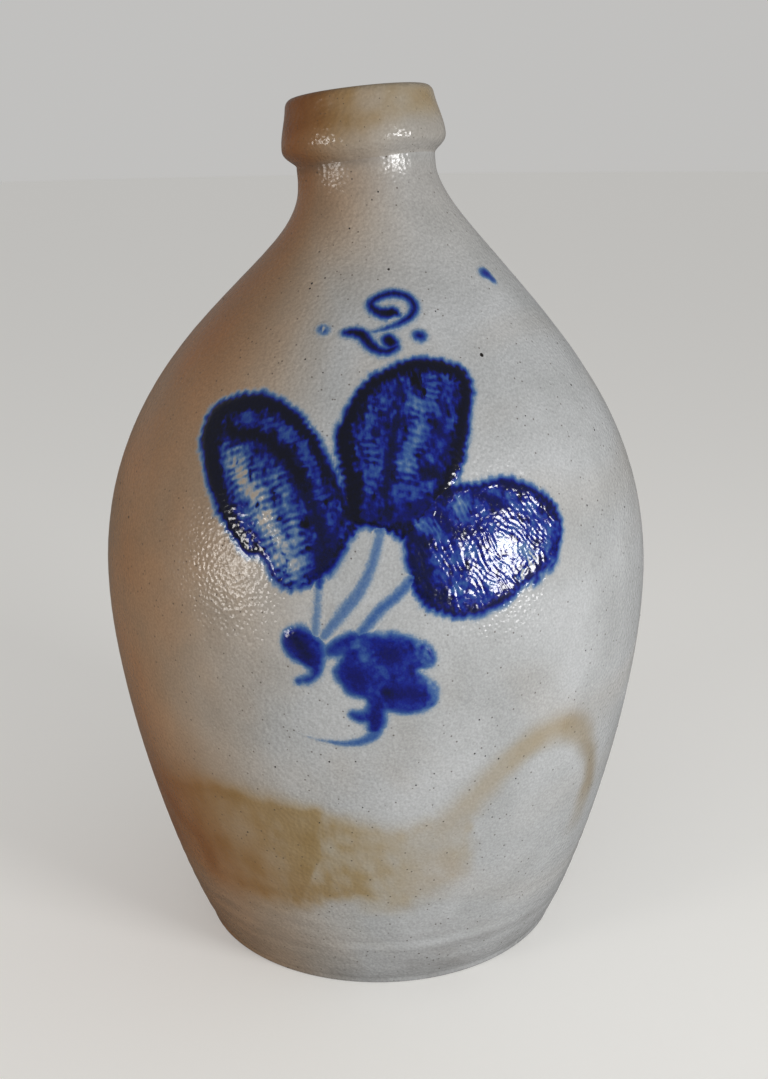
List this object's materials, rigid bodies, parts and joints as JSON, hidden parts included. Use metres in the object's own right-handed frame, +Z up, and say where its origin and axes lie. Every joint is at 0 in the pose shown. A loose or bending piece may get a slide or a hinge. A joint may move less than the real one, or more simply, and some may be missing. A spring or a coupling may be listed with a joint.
{
  "type": "stoneware crock jug",
  "caption": "Ovoid salt-glazed stoneware jug with a narrow neck, a tooled collar, a strap handle at the back and a blue slip flower on the front.",
  "frame": {"origin": "middle of the foot's underside, on the axis of the body", "axes": "+Z up along the thrown axis, -Y towards the flower, +Y towards the handle, +X to the right as the flower is seen"},
  "size_m": [0.231, 0.2318, 0.3582],
  "materials": {
    "salt_glazed_stoneware": "grey-beige salt glaze with fine orange peel and iron specks",
    "flashed_stoneware": "salt glaze flashed ochre and olive by the kiln",
    "cobalt_slip": "thick dark cobalt slip under salt glaze",
    "thin_cobalt_wash": "thin brushed cobalt slip under salt glaze"
  },
  "bodies": {
    "root": {"thrown_body": "salt_glazed_stoneware", "tooled_collar": "flashed_stoneware", "strap_handle": "salt_glazed_stoneware", "left_petal_slip": "cobalt_slip", "middle_petal_slip": "cobalt_slip", "right_petal_slip": "cobalt_slip", "left_stem_slip": "thin_cobalt_wash", "middle_stem_slip": "thin_cobalt_wash", "right_stem_slip": "thin_cobalt_wash", "bud_slip": "cobalt_slip", "leaf_cluster_slip": "cobalt_slip", "tail_slip": "thin_cobalt_wash"}
  },
  "joints": []
}
